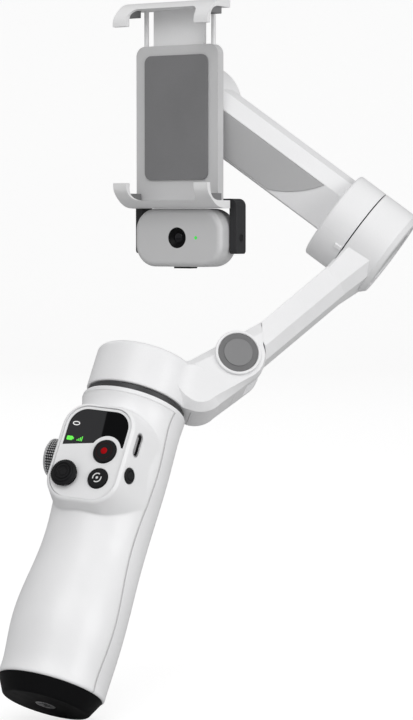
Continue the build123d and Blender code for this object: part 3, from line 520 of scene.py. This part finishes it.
# ---------------------------------------------------------------- thumbstick
# stem with a flanged foot, then the cap: waist, ridged rim, raised lip, dished top with a ring
cap_radius = half_width("joystick_cap", SIDE)
stick_low = -2 * half_width("joystick_cap", -INWARD)
RIDGES, RIDGE_DEPTH = 40, 0.16 * MM
RIDGED_FROM = 0.93
UNDERSIDE = -2.2 * MM
CAP_WAIST = [(0.5, -3.6), (0.6, -3.0), (0.72, -2.15)]
CAP_RIM = [(RIDGED_FROM, -2.1), (0.99, -1.9), (1, -1.6), (1, -1.25), (0.98, -1.0), (0.92, -0.86)]
CAP_LIP = [(0.8, -0.82), (0.775, -0.7), (0.765, -0.2), (0.745, -0.04), (0.71, 0), (0.66, -0.03)]
CAP_DISH = [(0.635, -0.4), (0.56, -0.46), (0.53, -0.14), (0.45, -0.14), (0.42, -0.5), (0.3, -0.6)]
CAP_CENTRE = [(0.27, -0.4), (0, -0.36)]


def ridges(radius, height, angle):
    """Grip ridges round the rim of the cap."""
    if height < UNDERSIDE or radius < cap_radius * RIDGED_FROM:
        return radius
    return radius - RIDGE_DEPTH * (0.5 + 0.5 * cos(RIDGES * angle))


stick_profile = [(0, stick_low), (1.7 * MM, stick_low), (1.9 * MM, stick_low + 0.4 * MM)]
stick_profile += [(1.9 * MM, stick_low + 0.9 * MM), (1.3 * MM, stick_low + 1.1 * MM), (1.3 * MM, -3.8 * MM)]
stick_profile += scaled(CAP_WAIST + CAP_RIM + CAP_LIP + CAP_DISH + CAP_CENTRE, cap_radius)
stick_frame = face_frame("joystick_cap", -INWARD)
thumb = turned("thumbstick", stick_profile, 160, stick_frame, BY_SLOT["soft_black"], "joystick", ridges, 50)
stand_for("joystick_cap")

# ---------------------------------------------------------------- marks on the buttons
# record button: a red dot and a thin dark red ring let into its face
record = face_frame("record_button", -INWARD)
dot = scaled([(0, -0.05), (1.25, -0.05), (1.3, 0.02), (1.2, 0.09), (0.6, 0.12), (0, 0.13)])
turned("record_dot", dot, 48, record, RED, "record_button")
rim = scaled([(3.0, -0.03), (3.18, -0.03), (3.18, 0.03), (3.0, 0.03)])
turned("record_ring", rim, 72, record, DARK_RED, "record_button")

# mode button: two short curved strokes round a dot, a plain changeover sign
mode = face_frame("mode_button", -INWARD)
PRINT = 0.04 * MM
for index in (0, 1):
    arc = [radians(200 + 180 * index - 10 * k) for k in range(15)]
    stroke = circle(1.9 * MM, arc) + circle(1.45 * MM, reversed(arc))
    plate(f"mode_stroke_{index}", [stroke], PRINT, mode, PRINT_WHITE, "mode_button")
plate("mode_dot", [ellipse(0.5 * MM, 0.5 * MM, 24)], PRINT, mode, PRINT_WHITE, "mode_button")

# ---------------------------------------------------------------- display symbols
# an oval loop, a battery and a row of rising bars, placed from the window's lower left corner
window_out = span("display_window", -INWARD)[1]
window_left = span("display_window", SIDE)[0]
window_low = span("display_window", UP)[0]
corner_frame = axes(SIDE * window_left + UP * window_low - INWARD * window_out, SIDE, UP, -INWARD)
SYMBOL = 0.03 * MM
LOOP_AT = (3.1 * MM, 8.9 * MM)
BATTERY_AT = (2.15 * MM, 2.75 * MM)
TIP_AT = (BATTERY_AT[0] + 1.5 * MM, BATTERY_AT[1])
BARS, BARS_LEFT, BARS_LOW, BAR_PITCH = 4, 5.4, 1.95 * MM, 0.62


def symbol(name, loops, material):
    plate(name, loops, SYMBOL, corner_frame, material, "handle")


loops = [ellipse(1.5 * MM, 0.85 * MM, 40, LOOP_AT), ellipse(1.15 * MM, 0.5 * MM, 40, LOOP_AT)]
symbol("symbol_loop", loops, GLOW_WHITE)
symbol("symbol_battery", [bar(*BATTERY_AT, 2.5 * MM, 1.7 * MM)], GLOW_GREEN)
symbol("symbol_battery_tip", [bar(*TIP_AT, 0.4 * MM, 0.8 * MM)], GLOW_GREEN)
for index in range(BARS):
    height = (0.6 + 0.45 * index) * MM
    across = (BARS_LEFT + BAR_PITCH * index) * MM
    symbol(f"symbol_bar_{index}", [bar(across, BARS_LOW + height / 2, 0.36 * MM, height)], GLOW_GREEN)

# ---------------------------------------------------------------- tripod insert
# steel insert in the foot: quarter-inch thread, twenty turns to the inch
PITCH = 1.27 * MM
mount = next(m for m in frame["record"]["mounts"] if m["name"] == "tripod_thread")
crest = mount["dims"]["r_mm"] * MM
root = 3.1 * MM
insert_top = span("tripod_insert", UP)[1]
FLANGE_RADIUS = 5.35 * MM
AROUND, PER_TURN = 72, 8
levels = int(insert_top / PITCH * PER_TURN)


def thread(radius, height, angle):
    """Sixty-degree helical groove in the bore, faded out at both ends."""
    if radius != crest:
        return radius
    share = (height / PITCH - angle / (2 * pi)) % 1.0
    fade = min(1.0, height / PITCH, (insert_top - height) / PITCH)
    return crest + (root - crest) * fade * (1 - abs(2 * share - 1))


bore = [(crest, insert_top * k / levels) for k in range(levels, -1, -1)]
sleeve = [(3.4 * MM, 0), (3.75 * MM, 0), (3.95 * MM, 0.2 * MM), (3.95 * MM, insert_top - 1.05 * MM)]
sleeve += [(FLANGE_RADIUS, insert_top - 1.0 * MM), (FLANGE_RADIUS, insert_top)]
insert_frame = axes(Vector((0, 0, 0)), SIDE, UP.cross(SIDE), UP)
steel = BY_SLOT["steel"]
insert = turned("threaded_insert", sleeve + bore, AROUND, insert_frame, steel, "handle", thread, 25)
stand_for("tripod_insert")

# ---------------------------------------------------------------- tracking lens
# stepped barrel with a domed front element
lens_low, lens_front = span("tracker_lens", LENS_OUT)
lens_centre = Vector((middle("tracker_lens", RIGHT), 0, middle("tracker_lens", TOP)))
lens_frame = axes(lens_centre + LENS_OUT * lens_front, RIGHT, TOP, LENS_OUT)
lens_radius = half_width("tracker_lens", RIGHT)
lens_floor = lens_low - lens_front
STEP_DEPTH = 0.25 * MM
WELL = -1.5 * MM
barrel = [(0, lens_floor), (lens_radius, lens_floor), (lens_radius, -0.1 * MM)]
barrel += [(0.96 * lens_radius, 0), (0.88 * lens_radius, 0)]
for step in range(4):
    barrel.append((lens_radius * (0.86 - 0.1 * step), -STEP_DEPTH * step - 0.08 * MM))
    barrel.append((lens_radius * (0.78 - 0.1 * step), -STEP_DEPTH * (step + 1)))
barrel += [(0.46 * lens_radius, WELL), (0, WELL)]
tracker_lens = turned("lens_barrel", barrel, 96, lens_frame, BARREL_BLACK, "tracker")
stand_for("tracker_lens")
dome_radius = 0.5 * lens_radius
dome = [(0, -1.45 * MM), (dome_radius, -1.45 * MM)]
for degrees in range(0, 90, 9):
    dome.append((dome_radius * cos(radians(degrees)), (-1.3 + 0.5 * sin(radians(degrees))) * MM))
dome.append((0, -0.8 * MM))
turned("lens_element", dome, 72, lens_frame, BY_SLOT["lens_glass"], "tracker", None, 60)


# ---------------------------------------------------------------- stage, lights and camera
def paper():
    """Backdrop paper: the camera sees it nearly white, and it throws less light back on the object."""
    s = Shader("backdrop_paper")
    cloud = s.spread(s.noise(0.4, 3), 0.98, 1.0)
    seen = s.add("ShaderNodeLightPath").outputs["Is Camera Ray"]
    s.put(s.surface, Base_Color=s.mix(seen, (0.5, 0.5, 0.5, 1), (0.4, 0.4, 0.4, 1)), Roughness=0.95)
    s.put(s.surface, Emission_Color=s.mix(cloud, (0.97, 0.97, 0.97, 1), (1, 1, 1, 1)))
    s.put(s.surface, Emission_Strength=s.times(seen, 0.72))
    return s.material


low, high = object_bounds()
target = (low + high) / 2
ground = low.z - 0.5 * MM
HEADING = radians(32.0)
PAPER_FRONT, PAPER_BACK, PAPER_SIDE, PAPER_TOP, PAPER_CURVE = -4.0, 3.0, 6.0, 5.0, 1.0
curve_start = PAPER_BACK - PAPER_CURVE
profile = [(PAPER_FRONT, 0.0), (curve_start, 0.0)]
for degrees in range(10, 91, 10):
    profile.append((curve_start + sin(radians(degrees)), PAPER_CURVE - cos(radians(degrees))))
profile.append((PAPER_BACK, PAPER_TOP))
paper_points, paper_faces = [], []
for distance, height in profile:
    paper_points += [(-PAPER_SIDE, distance, height), (PAPER_SIDE, distance, height)]
for k in range(len(profile) - 1):
    paper_faces.append((2 * k, 2 * k + 1, 2 * k + 3, 2 * k + 2))
sweep = bpy.data.meshes.new("backdrop")
sweep.from_pydata(paper_points, [], paper_faces)
sweep.shade_smooth()
sweep.materials.append(paper())
backdrop = bpy.data.objects.new("backdrop", sweep)
bpy.context.scene.collection.objects.link(backdrop)
backdrop.matrix_world = Matrix.Translation((0, 0, ground)) @ Matrix.Rotation(HEADING, 4, "Z")


def soft_light(name, azimuth, elevation, distance, size, power):
    a, e = radians(azimuth), radians(elevation)
    out = Vector((sin(a) * cos(e), -cos(a) * cos(e), sin(e)))
    data = bpy.data.lights.new(name, "AREA")
    data.shape, data.size, data.energy = "DISK", size, power
    lamp = bpy.data.objects.new(name, data)
    bpy.context.scene.collection.objects.link(lamp)
    lamp.location = target + out * distance
    lamp.rotation_mode = "QUATERNION"
    lamp.rotation_quaternion = out.to_track_quat("Z", "Y")


soft_light("key", 20, 40, 1.6, 1.1, 6.8)
soft_light("fill", 85, 6, 1.8, 1.3, 13)
soft_light("rim", 250, 35, 1.8, 0.8, 3)

world = bpy.data.worlds.new("studio")
world.use_nodes = True
world.node_tree.nodes["Background"].inputs["Color"].default_value = (1, 1, 1, 1)
world.node_tree.nodes["Background"].inputs["Strength"].default_value = 0.6
bpy.context.scene.world = world
bpy.context.scene.view_settings.view_transform = "Standard"

FOCAL_MM, SENSOR_MM = 112.4, 36.0
PITCH_DOWN = radians(3.54)
camera_data = bpy.data.cameras.new("camera")
camera_data.sensor_width, camera_data.lens = SENSOR_MM, FOCAL_MM
camera_data.clip_start, camera_data.clip_end = 0.01, 50.0
camera = bpy.data.objects.new("camera", camera_data)
bpy.context.scene.collection.objects.link(camera)
camera.location = (0.4814, -0.65905, 0.17707)
camera.rotation_euler = (pi / 2 - PITCH_DOWN, 0, HEADING)
bpy.context.scene.camera = camera
